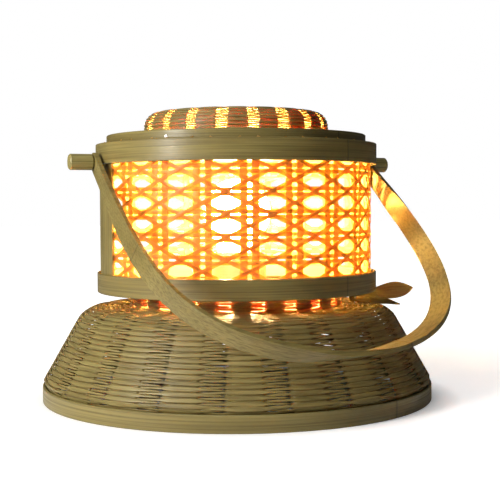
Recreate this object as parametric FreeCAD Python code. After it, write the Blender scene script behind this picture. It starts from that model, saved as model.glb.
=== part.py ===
import FreeCAD, Part
import math
import os

# A woven bamboo lantern lamp: a basket-woven base, a cane-webbing shade between bent bamboo hoops,
# a woven lift-off lid, a swinging bail handle and a screw-in bulb. Millimetres, +Z up. The origin is
# on the resting plane at the centre of the base, and the bail turns about a line along X.
# Azimuths are in degrees, counted from the front (-Y) towards +X.

# woven base
FOOT_RADIUS = 127.6
FOOT_SKIN_BOTTOM = 1.0
FOOT_SKIN_TOP = 10.4
BULGE_RADIUS = 129.4
BULGE_HEIGHT = 13.8
SHOULDER_RADIUS = 102.3
BASE_TOP = 61.5
SHOULDER_ROUND = 17.0
NECK_RADIUS = 71.2
NECK_TOP = 71.3
SEAT_RADIUS = 89.8
PATH_ROUND = 2.0
LEAST_ROUND = 1.3
WEAVE_THICKNESS = 1.4
SLAT_THICKNESS = 1.2
LAYER_GAP = 0.1
BASE_SLATS = 21
BASE_SLAT_WIDTH = 8.6
BASE_FIRST_SLAT = -2.4

# bent bamboo hoops: inner radius, outer radius, bottom, top
FOOT_OUTER_HOOP = (127.9, 129.7, 0.0, 10.6)
FOOT_INNER_HOOP = (122.9, 124.7, 1.0, 10.6)
LOWER_OUTER_HOOP = (91.8, 93.3, 71.0, 84.0)
LOWER_INNER_HOOP = (86.4, 88.3, 74.4, 83.6)
TOP_OUTER_HOOP = (91.8, 93.6, 154.5, 168.0)
TOP_INNER_HOOP = (87.0, 88.3, 154.7, 168.8)
LEDGE_RING = (82.8, 86.7, 154.7, 162.2)
NECK_HOOP = (64.5, 68.2, 58.4, 62.2)
HOOP_EDGE_EASING = 0.4
SHELL_EDGE_EASING = 0.2

# cane webbing sheet, rolled into a cylinder
WEBBING_INNER = 88.6
WEBBING_OUTER = 89.8
WEBBING_BOTTOM = 74.4
WEBBING_TOP = 168.3
HOLE_COLUMNS = 20
HOLE_ROWS = 6
FIRST_HOLE_AZIMUTH = -8.0
FIRST_HOLE_HEIGHT = 88.3
HOLE_PITCH = 13.65
HOLE_WIDTH = 15.6
HOLE_HEIGHT = 7.6
HOLE_CORNER_X = 4.6
HOLE_CORNER_Z = 2.3
HOLE_CUT_START = 91.8
HOLE_CUT_DEPTH = 8.0

# upright struts
STRUT_INNER = 90.1
STRUT_OUTER = 91.5
STRUT_WIDTH_ANGLE = 18.6
STRUT_BOTTOM = 71.4
STRUT_TOP = 167.0

# bail handle and its pegs
PIVOT_HEIGHT = 155.8
BAIL_HALF_WIDTH = 97.0
BAIL_REACH = 196.0
BAIL_BULGE = 0.425
BAIL_BULGE_POWER = 1.89
BAIL_REACH_POWER = 0.877
BAIL_DROP_ANGLE = 33.7
BAIL_WIDTH = 12.0
BAIL_THICKNESS = 2.8
BAIL_STEPS = 36
# twist of the strip about its own length: (share of the way from the left peg, degrees)
BAIL_TWIST = [(0.0, 0), (0.07, 0), (0.2, -14), (0.35, 4), (0.5, 42), (0.62, 57), (0.8, 60)]
BAIL_TWIST += [(0.93, 0), (1.0, 0)]
BAIL_OVERHANG = 20.0
PEG_SHANK_RADIUS = 3.0
PEG_HEAD_RADIUS = 5.15
PEG_INNER_END = 87.2
PEG_HEAD_START = 98.8
PEG_OUTER_END = 114.0
PEG_CHAMFER = 0.8
RUNNING_GAP = 0.05

# woven lid
LID_RIM_RADIUS = 84.4
LID_RIM_BOTTOM = 163.2
LID_BRIM_HEIGHT = 173.4
CROWN_RADIUS = 62.0
CROWN_SHOULDER = 189.0
CROWN_ROUND = 10.0
CROWN_TOP = 194.0
LID_OUTER_RIM = (84.7, 86.4, 162.6, 173.8)
LID_INNER_RIM = (79.8, 81.4, 162.6, 170.3)
LID_SLATS = 19
LID_SLAT_WIDTH = 12.0
LID_FIRST_SLAT = -2.0
LID_SLAT_TIP_RADIUS = 3.0

# lamp board, lampholder and bulb
BOARD_RADIUS = 88.0
BOARD_BOTTOM = 50.0
BOARD_TOP = 58.2
HOLDER_FLANGE_RADIUS = 27.0
HOLDER_FLANGE_THICKNESS = 4.0
HOLDER_RADIUS = 19.5
HOLDER_BORE = 14.6
HOLDER_FLOOR = 65.0
HOLDER_TOP = 94.0
HOLDER_SCREW_OFFSET = 23.2
SHELL_INNER = 13.5
SHELL_OUTER = 14.4
SHELL_BOTTOM = 69.0
SHELL_TOP = 91.5
CAP_RADIUS = 13.1
CAP_WALL = 0.6
CAP_BOTTOM = 71.4
CAP_TAPER_RADIUS = 8.0
CAP_TAPER_TOP = 75.4
CAP_TOP = 96.6
TIP_BOTTOM = 67.8
TIP_TOP = 68.9
TIP_RADIUS = 3.6
TIP_END_RADIUS = 2.0
INSULATOR_TOP = 71.2
INSULATOR_BOTTOM = 69.0
INSULATOR_WIDE = 7.4
INSULATOR_NARROW = 4.0
GLOBE_RADIUS = 22.5
GLOBE_CENTRE = 123.0
GLASS_THICKNESS = 0.8
GLASS_NECK = [(12.2, 92.6), (12.2, 97.2), (13.8, 101.6)]
GLOBE_START_ANGLE = -43
GLOBE_STEPS = 22

STEM_BOTTOM = 93.0
STEM_TOP = 110.0
STEM_RADIUS = 4.0
STEM_FLARE = 4.0
WIRE_RADIUS = 0.4
BEAD_RADIUS = 0.6
WIRE_FOOT_OFFSET = 2.0
FILAMENT_HEIGHT = 122.0
FILAMENT_SPREAD = 8.0
CONTACT_LENGTH = 24.0
CONTACT_WIDTH = 5.0
CONTACT_THICKNESS = 0.8
CONTACT_RISE = 1.4

# nails: azimuths, height and tip radius of each set
NAIL_RADIUS = 0.8
NAIL_HEAD_RADIUS = 1.9
NAIL_HEAD = 0.9
NAIL_HEAD_STANDOFF = 0.05
FOOT_NAIL_AZIMUTHS = [30, 90, 150, 210, 270, 330]
FOOT_NAIL_HEIGHT = 6.0
FOOT_NAIL_TIP = 129.1
LOWER_NAIL_AZIMUTHS = [0, 90, 180, 270]
LOWER_NAIL_HEIGHT = 79.5
LOWER_NAIL_TIP = 92.7
TOP_NAIL_AZIMUTHS = [45, 135, 225, 315]
TOP_NAIL_HEIGHT = 158.0
TOP_NAIL_TIP = 92.9
LID_NAIL_AZIMUTH = -51.0
LID_NAIL_HEIGHT = 169.6
LID_NAIL_DEPTH = 5.0
LID_NAIL_HEAD_RADIUS = NAIL_HEAD_RADIUS / 2
LID_NAIL_HEAD = NAIL_HEAD / 3
LID_NAIL_HOLE_END = 90.0

# screws, grommet and leaves
SCREW_RADIUS = 1.5
SCREW_HEAD_RADIUS = 3.0
SCREW_HEAD = 1.8
FIT_GAP = 0.05
BOARD_SCREW_AZIMUTHS = [45, 135, 225, 315]
BOARD_SCREW_PLACE = 66.3
BOARD_SCREW_TOP = 61.4
HOLDER_SCREW_TIP = 51.5
WIRE_HOLE_RADIUS = 4.0
GROMMET_HEIGHT = 5.3
GROMMET_BORE = 2.8
GROMMET_BODY = 3.9
GROMMET_FLANGE = 4.9
GROMMET_FLANGE_THICKNESS = 1.0
GROMMET_INNER_GAP = 0.2
GROMMET_OUTER_GAP = 0.1
GROMMET_HOLE_LENGTH = 15.6
LEAF_AZIMUTH = 70.0
LEAF_THICKNESS = 1.0
LOWER_LEAF_START = 76.0
LOWER_LEAF_LENGTH = 33.0
LOWER_LEAF_HALF_WIDTHS = [(0.0, 3.0), (0.42, 5.5)]
LOWER_LEAF_LIFT = 1.2
LOWER_LEAF_ROLL = 8.0
LOWER_LEAF_RISE = 0.0
UPPER_LEAF_START = 77.0
UPPER_LEAF_LENGTH = 43.0
UPPER_LEAF_HALF_WIDTHS = [(0.0, 1.7), (0.32, 2.4), (0.62, 7.0)]
UPPER_LEAF_LIFT = 3.7
UPPER_LEAF_ROLL = 50.0
UPPER_LEAF_RISE = 8.0
LEAF_PIN_RADIUS = 0.7
LEAF_PIN_HEAD_RADIUS = 1.4
LEAF_PIN_PLACE = 80.0
LEAF_PIN_BOTTOM = 53.0
LEAF_PIN_TOP = 69.0

# how far a cutting tool or a joined rod runs past a face, and the steps in a rounded corner
OVERRUN = 1.0
ARC_STEPS = 6


def vector(x, y, z):
    return FreeCAD.Vector(x, y, z)


UP = vector(0, 0, 1)
CENTRE = vector(0, 0, 0)
os.makedirs("parts", exist_ok=True)


def direction(azimuth):
    angle = math.radians(azimuth)
    return vector(math.sin(angle), -math.cos(angle), 0)


def save(shape, node):
    shape.exportStep("parts/" + node + ".step")


def rounded_path(corners):
    """Points along a path of (radius, height, rounding) corners, with each rounding as a fine arc."""
    points = [vector(corners[0][0], 0, corners[0][1])]
    for before, here, after in zip(corners, corners[1:], corners[2:]):
        points.extend(corner_arc(before, here, after))
    points.append(vector(corners[-1][0], 0, corners[-1][1]))
    return points


def corner_arc(before, here, after):
    corner = vector(here[0], 0, here[1])
    arriving = vector(here[0] - before[0], 0, here[1] - before[1]).normalize()
    leaving = vector(after[0] - here[0], 0, after[1] - here[1]).normalize()
    turn = arriving.getAngle(leaving)
    reach = here[2] * math.tan(turn / 2)
    start = corner - arriving * reach
    side = leaving - arriving * arriving.dot(leaving)
    centre = start + side.normalize() * here[2]
    arc = []
    for step in range(ARC_STEPS + 1):
        angle = turn * step / ARC_STEPS
        arc.append(centre - side * here[2] * math.cos(angle) + arriving * here[2] * math.sin(angle))
    return arc


def inward(points, depth):
    """The same path moved towards its left-hand side by depth."""
    moved = []
    last = len(points) - 1
    for index, point in enumerate(points):
        before = points[max(index - 1, 0)]
        after = points[min(index + 1, last)]
        first = (point - before) if index > 0 else (after - point)
        second = (after - point) if index < last else first
        normal_one = vector(-first.z, 0, first.x).normalize()
        normal_two = vector(-second.z, 0, second.x).normalize()
        middle = (normal_one + normal_two).normalize()
        moved.append(point + middle * (depth / middle.dot(normal_one)))
    return moved


def spun_skin(points, near, far, azimuth=0.0, sweep=360.0):
    """A skin between two depths inside a path, spun about Z, centred on an azimuth."""
    outer = inward(points, near)
    inner = inward(points, far)
    for side in (outer, inner):
        for point in side:
            point.x = max(point.x, 0.0)
    outline = outer + inner[::-1] + outer[:1]
    face = Part.Face(Part.makePolygon(outline))
    solid = face.revolve(CENTRE, UP, sweep)
    solid.rotate(CENTRE, UP, azimuth - 90.0 - sweep / 2)
    return solid


def inset_corners(corners, depth):
    """The same (radius, height, rounding) corners moved towards the path's left-hand side by depth."""
    moved = []
    places = [vector(radius, 0, height) for radius, height, rounding in corners]
    ends = inward(places, depth)
    for index, corner in enumerate(corners):
        rounding = corner[2]
        if rounding > 0:
            arriving = places[index] - places[index - 1]
            leaving = places[index + 1] - places[index]
            turns_left = arriving.x * leaving.z - arriving.z * leaving.x > 0
            rounding = max(rounding - depth, LEAST_ROUND) if turns_left else rounding + depth
        moved.append((ends[index].x, ends[index].z, rounding))
    return moved


def slat_set(corners, count, width, first_azimuth):
    """Flat slats that follow the inner face of a woven skin."""
    path = rounded_path(inset_corners(corners, WEAVE_THICKNESS + LAYER_GAP))
    slats = []
    for index in range(count):
        azimuth = first_azimuth + 360.0 * index / count
        slats.append(spun_skin(path, 0.0, SLAT_THICKNESS, azimuth, width))
    return Part.makeCompound(slats)


def spun_outline(outline):
    points = [vector(radius, 0, height) for radius, height in outline]
    face = Part.Face(Part.makePolygon(points + points[:1]))
    return face.revolve(CENTRE, UP, 360)


def hoop(size, easing=HOOP_EDGE_EASING):
    """A bent band with its four edges eased."""
    inner, outer, bottom, top = size
    outline = [
        (inner + easing, bottom),
        (outer - easing, bottom),
        (outer, bottom + easing),
        (outer, top - easing),
        (outer - easing, top),
        (inner + easing, top),
        (inner, top - easing),
        (inner, bottom + easing),
    ]
    return spun_outline(outline)


def rod(start, along, radius, length):
    return Part.makeCylinder(radius, length, start, along)


def nail(azimuth, height, head_at, tip_at):
    """A nail driven outwards: its head lies inside, and its tip stops inside the outer hoop."""
    along = direction(azimuth)
    neck = head_at - NAIL_HEAD_STANDOFF
    head = rod(along * (neck - NAIL_HEAD) + UP * height, along, NAIL_HEAD_RADIUS, NAIL_HEAD)
    shank = rod(along * neck + UP * height, along, NAIL_RADIUS, tip_at - neck)
    return head.fuse(shank)


def nail_holes(azimuths, height, start, end):
    holes = []
    for azimuth in azimuths:
        along = direction(azimuth)
        holes.append(rod(along * start + UP * height, along, NAIL_RADIUS + FIT_GAP, end - start))
    return Part.makeCompound(holes)


# ---- hole tools shared by the pieces that one fastener or peg passes through ----

foot_nail_start = FOOT_INNER_HOOP[0] - NAIL_HEAD
lower_nail_start = LOWER_INNER_HOOP[0] - NAIL_HEAD
top_nail_start = LEDGE_RING[0] - NAIL_HEAD
foot_nail_holes = nail_holes(FOOT_NAIL_AZIMUTHS, FOOT_NAIL_HEIGHT, foot_nail_start, FOOT_NAIL_TIP)
lower_nail_holes = nail_holes(LOWER_NAIL_AZIMUTHS, LOWER_NAIL_HEIGHT, lower_nail_start, LOWER_NAIL_TIP)
top_nail_holes = nail_holes(TOP_NAIL_AZIMUTHS, TOP_NAIL_HEIGHT, top_nail_start, TOP_NAIL_TIP)
peg_end = vector(-PEG_OUTER_END, 0, PIVOT_HEIGHT)
peg_hole = rod(peg_end, vector(1, 0, 0), PEG_SHANK_RADIUS + FIT_GAP, 2 * PEG_OUTER_END)
grommet_start = vector(0, FOOT_INNER_HOOP[0] - GROMMET_BODY, GROMMET_HEIGHT)
grommet_hole = rod(grommet_start, vector(0, 1, 0), GROMMET_BODY + FIT_GAP, GROMMET_HOLE_LENGTH)
pin_foot = direction(LEAF_AZIMUTH) * LEAF_PIN_PLACE + UP * LEAF_PIN_BOTTOM
leaf_pin_hole = rod(pin_foot, UP, LEAF_PIN_RADIUS + FIT_GAP, LEAF_PIN_TOP - LEAF_PIN_BOTTOM + OVERRUN)


def nail_set(azimuths, height, head_at, tip_at):
    return Part.makeCompound([nail(azimuth, height, head_at, tip_at) for azimuth in azimuths])


# ---- woven base ----

base_corners = [
    (FOOT_RADIUS, FOOT_SKIN_BOTTOM, 0.0),
    (FOOT_RADIUS, FOOT_SKIN_TOP, PATH_ROUND),
    (BULGE_RADIUS, BULGE_HEIGHT, PATH_ROUND),
    (SHOULDER_RADIUS, BASE_TOP, SHOULDER_ROUND),
    (NECK_RADIUS, BASE_TOP, PATH_ROUND),
    (NECK_RADIUS, NECK_TOP, PATH_ROUND),
    (SEAT_RADIUS, NECK_TOP, 0.0),
]
base_path = rounded_path(base_corners)
base_weave = spun_skin(base_path, 0.0, WEAVE_THICKNESS)
base_weave = base_weave.cut(foot_nail_holes).cut(grommet_hole).cut(leaf_pin_hole)
base_slats = slat_set(base_corners, BASE_SLATS, BASE_SLAT_WIDTH, BASE_FIRST_SLAT)
base_slats = base_slats.cut(foot_nail_holes).cut(grommet_hole).cut(leaf_pin_hole)
save(base_weave, "base_weave")
save(base_slats, "base_slats")

foot_outer_hoop = hoop(FOOT_OUTER_HOOP).cut(foot_nail_holes).cut(grommet_hole)
foot_inner_hoop = hoop(FOOT_INNER_HOOP).cut(foot_nail_holes).cut(grommet_hole)
save(foot_outer_hoop, "foot_outer_hoop")
save(foot_inner_hoop, "foot_inner_hoop")
save(nail_set(FOOT_NAIL_AZIMUTHS, FOOT_NAIL_HEIGHT, FOOT_INNER_HOOP[0], FOOT_NAIL_TIP), "foot_nails")


def cord_grommet():
    inner_face = FOOT_INNER_HOOP[0] - GROMMET_INNER_GAP
    outer_face = FOOT_OUTER_HOOP[1] + GROMMET_OUTER_GAP
    start = inner_face - GROMMET_FLANGE_THICKNESS
    end = outer_face + GROMMET_FLANGE_THICKNESS
    along = vector(0, 1, 0)
    body = rod(vector(0, start, GROMMET_HEIGHT), along, GROMMET_BODY, end - start)
    for face in (start, outer_face):
        rim = rod(vector(0, face, GROMMET_HEIGHT), along, GROMMET_FLANGE, GROMMET_FLANGE_THICKNESS)
        body = body.fuse(rim)
    bore_start = vector(0, start - OVERRUN, GROMMET_HEIGHT)
    return body.cut(rod(bore_start, along, GROMMET_BORE, end - start + 2 * OVERRUN))


save(cord_grommet(), "cord_grommet")

# ---- lamp board and neck hoop ----

flange_top = BOARD_TOP + HOLDER_FLANGE_THICKNESS
board_screws = []
board_screw_holes = []
for azimuth in BOARD_SCREW_AZIMUTHS:
    foot = direction(azimuth) * BOARD_SCREW_PLACE + UP * BOARD_BOTTOM
    depth = BOARD_SCREW_TOP - BOARD_BOTTOM
    head = rod(foot - UP * SCREW_HEAD, UP, SCREW_HEAD_RADIUS, SCREW_HEAD)
    board_screws.append(head.fuse(rod(foot, UP, SCREW_RADIUS, depth)))
    board_screw_holes.append(rod(foot, UP, SCREW_RADIUS + FIT_GAP, depth + FIT_GAP))
board_screw_holes = Part.makeCompound(board_screw_holes)

holder_screws = []
holder_screw_holes = []
for side in (-1, 1):
    tip = vector(side * HOLDER_SCREW_OFFSET, 0, HOLDER_SCREW_TIP)
    depth = flange_top - HOLDER_SCREW_TIP
    head = rod(tip + UP * depth, UP, SCREW_HEAD_RADIUS, SCREW_HEAD)
    holder_screws.append(head.fuse(rod(tip, UP, SCREW_RADIUS, depth)))
    holder_screw_holes.append(rod(tip, UP, SCREW_RADIUS + FIT_GAP, depth))
holder_screw_holes = Part.makeCompound(holder_screw_holes)

board_centre = vector(0, 0, BOARD_BOTTOM)
lamp_board = rod(board_centre, UP, BOARD_RADIUS, BOARD_TOP - BOARD_BOTTOM)
lamp_board = lamp_board.cut(rod(board_centre, UP, WIRE_HOLE_RADIUS, BOARD_TOP - BOARD_BOTTOM))
lamp_board = lamp_board.cut(board_screw_holes).cut(holder_screw_holes).cut(leaf_pin_hole)
neck_hoop = hoop(NECK_HOOP).cut(board_screw_holes)
save(lamp_board, "lamp_board")
save(neck_hoop, "neck_hoop")
save(Part.makeCompound(board_screws), "board_screws")

# ---- shade: hoops, cane webbing and struts ----

lower_outer_hoop = hoop(LOWER_OUTER_HOOP).cut(lower_nail_holes)
lower_inner_hoop = hoop(LOWER_INNER_HOOP).cut(lower_nail_holes)
top_outer_hoop = hoop(TOP_OUTER_HOOP).cut(top_nail_holes).cut(peg_hole)
top_inner_hoop = hoop(TOP_INNER_HOOP).cut(top_nail_holes).cut(peg_hole)
ledge_ring = hoop(LEDGE_RING).cut(top_nail_holes)
save(lower_outer_hoop, "lower_outer_hoop")
save(lower_inner_hoop, "lower_inner_hoop")
save(top_outer_hoop, "top_outer_hoop")
save(top_inner_hoop, "top_inner_hoop")
save(ledge_ring, "lid_ledge_ring")
save(nail_set(LOWER_NAIL_AZIMUTHS, LOWER_NAIL_HEIGHT, LOWER_INNER_HOOP[0], LOWER_NAIL_TIP), "lower_nails")
save(nail_set(TOP_NAIL_AZIMUTHS, TOP_NAIL_HEIGHT, LEDGE_RING[0], TOP_NAIL_TIP), "top_nails")


def webbing_hole(azimuth, height):
    """An eight-sided hole: the cane's uprights and rows bound it, and its diagonals cut its corners."""
    half_width = HOLE_WIDTH / 2
    half_height = HOLE_HEIGHT / 2
    short_width = half_width - HOLE_CORNER_X
    short_height = half_height - HOLE_CORNER_Z
    quarter = [(half_width, short_height), (short_width, half_height)]
    outline = quarter + [(-x, z) for x, z in quarter[::-1]]
    outline = outline + [(-x, -z) for x, z in outline]
    points = [vector(x, -HOLE_CUT_START, z + height) for x, z in outline]
    face = Part.Face(Part.makePolygon(points + points[:1]))
    prism = face.extrude(vector(0, HOLE_CUT_DEPTH, 0))
    prism.rotate(CENTRE, UP, azimuth)
    return prism


def cane_webbing():
    sheet = Part.makeCylinder(WEBBING_OUTER, WEBBING_TOP - WEBBING_BOTTOM, vector(0, 0, WEBBING_BOTTOM))
    hollow = Part.makeCylinder(WEBBING_INNER, WEBBING_TOP - WEBBING_BOTTOM, vector(0, 0, WEBBING_BOTTOM))
    sheet = sheet.cut(hollow)
    holes = []
    for column in range(HOLE_COLUMNS):
        azimuth = FIRST_HOLE_AZIMUTH + 360.0 * column / HOLE_COLUMNS
        for row in range(HOLE_ROWS):
            holes.append(webbing_hole(azimuth, FIRST_HOLE_HEIGHT + HOLE_PITCH * row))
    sheet = sheet.cut(Part.makeCompound(holes))
    return sheet.cut(lower_nail_holes).cut(top_nail_holes).cut(peg_hole)


save(cane_webbing(), "cane_webbing")


def strut(side_azimuth):
    corners = [
        (STRUT_OUTER, STRUT_BOTTOM),
        (STRUT_OUTER, STRUT_TOP),
        (STRUT_INNER, STRUT_TOP),
        (STRUT_INNER, STRUT_BOTTOM),
    ]
    points = [vector(radius, 0, height) for radius, height in corners]
    face = Part.Face(Part.makePolygon(points + points[:1]))
    body = face.revolve(CENTRE, UP, STRUT_WIDTH_ANGLE)
    body.rotate(CENTRE, UP, side_azimuth - 90.0 - STRUT_WIDTH_ANGLE / 2)
    return body.cut(peg_hole).cut(lower_nail_holes)


save(strut(90), "strut_right")
save(strut(-90), "strut_left")

# ---- pegs and bail ----


def peg(side):
    along = vector(side, 0, 0)
    shank_start = vector(side * PEG_INNER_END, 0, PIVOT_HEIGHT)
    head_start = vector(side * PEG_HEAD_START, 0, PIVOT_HEIGHT)
    shank = rod(shank_start, along, PEG_SHANK_RADIUS, PEG_HEAD_START - PEG_INNER_END + OVERRUN)
    head = rod(head_start, along, PEG_HEAD_RADIUS, PEG_OUTER_END - PEG_HEAD_START)
    rims = [edge for edge in head.Edges if isinstance(edge.Curve, Part.Circle)]
    return head.makeChamfer(PEG_CHAMFER, rims).fuse(shank)


save(peg(1), "peg_right")
save(peg(-1), "peg_left")


def bail_point(angle):
    sine = math.sin(angle)
    across = -BAIL_HALF_WIDTH * math.cos(angle) * (1 + BAIL_BULGE * sine ** BAIL_BULGE_POWER)
    return vector(across, -BAIL_REACH * sine ** BAIL_REACH_POWER, 0)


def bail_middle_line():
    """The strip's middle line, lying in the XY plane with its pegs on the X axis."""
    past_peg = vector(0, BAIL_WIDTH / 2, 0)
    points = [vector(-BAIL_HALF_WIDTH, 0, 0) + past_peg]
    for step in range(BAIL_STEPS + 1):
        even = step / BAIL_STEPS
        eased = even - math.sin(4 * math.pi * even) / (8 * math.pi)
        points.append(bail_point(min(max(math.pi * eased, 0.0), math.pi)))
    points.append(vector(BAIL_HALF_WIDTH, 0, 0) + past_peg)
    return points


def bail_twist(share):
    for (start, low), (end, high) in zip(BAIL_TWIST, BAIL_TWIST[1:]):
        if share <= end:
            ease = (1 - math.cos(math.pi * (share - start) / (end - start))) / 2
            return math.radians(low + (high - low) * ease)
    return 0.0


def strip_edge(points, outward, sideways):
    """One long edge of the strip, offset from its middle line in the strip's own turned section."""
    last = len(points) - 1
    moved = []
    for index, point in enumerate(points):
        run = points[min(index + 1, last)] - points[max(index - 1, 0)]
        outer = vector(run.y, -run.x, 0).normalize()
        turn = bail_twist(index / last)
        face = outer * math.cos(turn) - UP * math.sin(turn)
        across = outer * math.sin(turn) + UP * math.cos(turn)
        moved.append(point + face * outward + across * sideways)
    curve = Part.BSplineCurve()
    curve.interpolate(moved)
    return curve.toShape()


def bail_band():
    """The strip from four long edges, before its ends are rounded and drilled."""
    middle = bail_middle_line()
    outer = BAIL_THICKNESS / 2
    side = BAIL_WIDTH / 2
    corners = [(outer, side), (outer, -side), (-outer, -side), (-outer, side)]
    edges = [strip_edge(middle, outward, sideways) for outward, sideways in corners]
    faces = [Part.makeRuledSurface(edges[index - 1], edges[index]) for index in range(4)]
    for end in (0, 1):
        points = [edge.Vertexes[end].Point for edge in edges]
        faces.append(Part.Face(Part.makePolygon(points + points[:1])))
    shell = Part.makeShell(faces)
    shell.sewShape()
    band = Part.makeSolid(Part.Shell(shell.Faces))
    if band.Volume < 0:
        band.reverse()
    return band


def bail():
    across = vector(1, 0, 0)
    width = 2 * (BAIL_HALF_WIDTH + BAIL_OVERHANG)
    start = vector(-width / 2, 0, 0)
    reach = BAIL_REACH + BAIL_OVERHANG
    rounded_ends = rod(start, across, BAIL_WIDTH / 2, width)
    beyond = Part.makeBox(2 * width, reach, 4 * BAIL_WIDTH, vector(-width, -reach, -2 * BAIL_WIDTH))
    strip = bail_band().common(beyond.fuse(rounded_ends))
    strip = strip.cut(rod(start, across, PEG_SHANK_RADIUS + RUNNING_GAP, width))
    strip.rotate(CENTRE, across, BAIL_DROP_ANGLE)
    strip.translate(vector(0, 0, PIVOT_HEIGHT))
    return strip


save(bail(), "bail_strip")

# ---- woven lid ----

lid_corners = [
    (LID_RIM_RADIUS, LID_RIM_BOTTOM, 0.0),
    (LID_RIM_RADIUS, LID_BRIM_HEIGHT, PATH_ROUND),
    (CROWN_RADIUS, LID_BRIM_HEIGHT, PATH_ROUND),
    (CROWN_RADIUS, CROWN_SHOULDER, CROWN_ROUND),
    (0.0, CROWN_TOP, 0.0),
]
lid_path = rounded_path(lid_corners)
tip_share = LID_SLAT_TIP_RADIUS / CROWN_RADIUS
slat_tip_height = CROWN_TOP - (CROWN_TOP - CROWN_SHOULDER) * tip_share
lid_slat_corners = lid_corners[:-1] + [(LID_SLAT_TIP_RADIUS, slat_tip_height, 0.0)]


def lid_nail():
    along = direction(LID_NAIL_AZIMUTH)
    face = LID_OUTER_RIM[1]
    shank = rod(along * (face - LID_NAIL_DEPTH) + UP * LID_NAIL_HEIGHT, along, NAIL_RADIUS, LID_NAIL_DEPTH)
    head = rod(along * face + UP * LID_NAIL_HEIGHT, along, LID_NAIL_HEAD_RADIUS, LID_NAIL_HEAD)
    return shank.fuse(head)


lid_nail_tip = LID_OUTER_RIM[1] - LID_NAIL_DEPTH
lid_nail_hole = nail_holes([LID_NAIL_AZIMUTH], LID_NAIL_HEIGHT, lid_nail_tip, LID_NAIL_HOLE_END)
lid_weave = spun_skin(lid_path, 0.0, WEAVE_THICKNESS).cut(lid_nail_hole)
lid_slats = slat_set(lid_slat_corners, LID_SLATS, LID_SLAT_WIDTH, LID_FIRST_SLAT).cut(lid_nail_hole)
save(lid_weave, "lid_weave")
save(lid_slats, "lid_slats")
save(hoop(LID_OUTER_RIM).cut(lid_nail_hole), "lid_outer_rim")
save(hoop(LID_INNER_RIM).cut(lid_nail_hole), "lid_inner_rim")
save(lid_nail(), "lid_nail")

# ---- lampholder ----

holder_outline = [
    (WIRE_HOLE_RADIUS, BOARD_TOP),
    (HOLDER_FLANGE_RADIUS, BOARD_TOP),
    (HOLDER_FLANGE_RADIUS, flange_top),
    (HOLDER_RADIUS, flange_top),
    (HOLDER_RADIUS, HOLDER_TOP),
    (HOLDER_BORE, HOLDER_TOP),
    (HOLDER_BORE, HOLDER_FLOOR),
    (WIRE_HOLE_RADIUS, HOLDER_FLOOR),
]
holder_body = spun_outline(holder_outline).cut(holder_screw_holes)
save(holder_body, "holder_body")
save(hoop((SHELL_INNER, SHELL_OUTER, SHELL_BOTTOM, SHELL_TOP), SHELL_EDGE_EASING), "holder_shell")
save(Part.makeCompound(holder_screws), "holder_screws")


def holder_contact():
    """A sprung strip lying across the lampholder's floor, with a raised middle under the bulb's tip."""
    start = vector(-CONTACT_LENGTH / 2, -CONTACT_WIDTH / 2, HOLDER_FLOOR)
    strip = Part.makeBox(CONTACT_LENGTH, CONTACT_WIDTH, CONTACT_THICKNESS, start)
    height = CONTACT_THICKNESS + CONTACT_RISE
    return strip.fuse(rod(UP * HOLDER_FLOOR, UP, CONTACT_WIDTH / 2, height))


save(holder_contact(), "holder_contact")

# ---- bulb ----


def globe_path():
    """The envelope's outline from its neck to the crown: a short flare, then most of a sphere."""
    points = [vector(radius, 0, height) for radius, height in GLASS_NECK]
    start = math.radians(GLOBE_START_ANGLE)
    for step in range(GLOBE_STEPS + 1):
        angle = start + (math.pi / 2 - start) * step / GLOBE_STEPS
        rise = GLOBE_RADIUS * math.sin(angle)
        points.append(vector(GLOBE_RADIUS * math.cos(angle), 0, GLOBE_CENTRE + rise))
    points[-1].x = 0.0
    return points


cap_outline = [
    (CAP_RADIUS, CAP_TOP),
    (CAP_RADIUS, CAP_TAPER_TOP),
    (CAP_TAPER_RADIUS, CAP_BOTTOM),
    (CAP_TAPER_RADIUS - CAP_WALL, CAP_BOTTOM + CAP_WALL),
    (CAP_RADIUS - CAP_WALL, CAP_TAPER_TOP),
    (CAP_RADIUS - CAP_WALL, CAP_TOP),
]
insulator_outline = [
    (0, INSULATOR_TOP),
    (INSULATOR_WIDE, INSULATOR_TOP),
    (INSULATOR_NARROW, INSULATOR_BOTTOM),
    (0, INSULATOR_BOTTOM),
]
contact_outline = [(0, TIP_TOP), (TIP_RADIUS, TIP_TOP), (TIP_END_RADIUS, TIP_BOTTOM), (0, TIP_BOTTOM)]
stem_outline = [
    (0, STEM_BOTTOM),
    (STEM_RADIUS + STEM_FLARE, STEM_BOTTOM),
    (STEM_RADIUS, STEM_BOTTOM + STEM_FLARE),
    (STEM_RADIUS, STEM_TOP),
    (0, STEM_TOP),
]
save(spun_skin(globe_path(), 0.0, GLASS_THICKNESS), "bulb_glass")
save(spun_outline(cap_outline), "bulb_cap")
save(spun_outline(insulator_outline), "bulb_insulator")
save(spun_outline(contact_outline), "bulb_contact")
save(spun_outline(stem_outline), "bulb_stem")


def bulb_filament():
    """Two support wires rising from the stem, joined by the filament across their tops."""
    wires = []
    for side in (-1, 1):
        foot = vector(side * WIRE_FOOT_OFFSET, 0, STEM_TOP + LAYER_GAP)
        top = vector(side * FILAMENT_SPREAD, 0, FILAMENT_HEIGHT)
        wires.append(rod(foot, top - foot, WIRE_RADIUS, (top - foot).Length))
        wires.append(Part.makeSphere(BEAD_RADIUS, top))
    start = vector(-FILAMENT_SPREAD, 0, FILAMENT_HEIGHT)
    coil = rod(start, vector(1, 0, 0), WIRE_RADIUS, 2 * FILAMENT_SPREAD)
    return coil.fuse(wires)


save(bulb_filament(), "bulb_filament")

# ---- pair of leaf blades beside the neck ----


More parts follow.
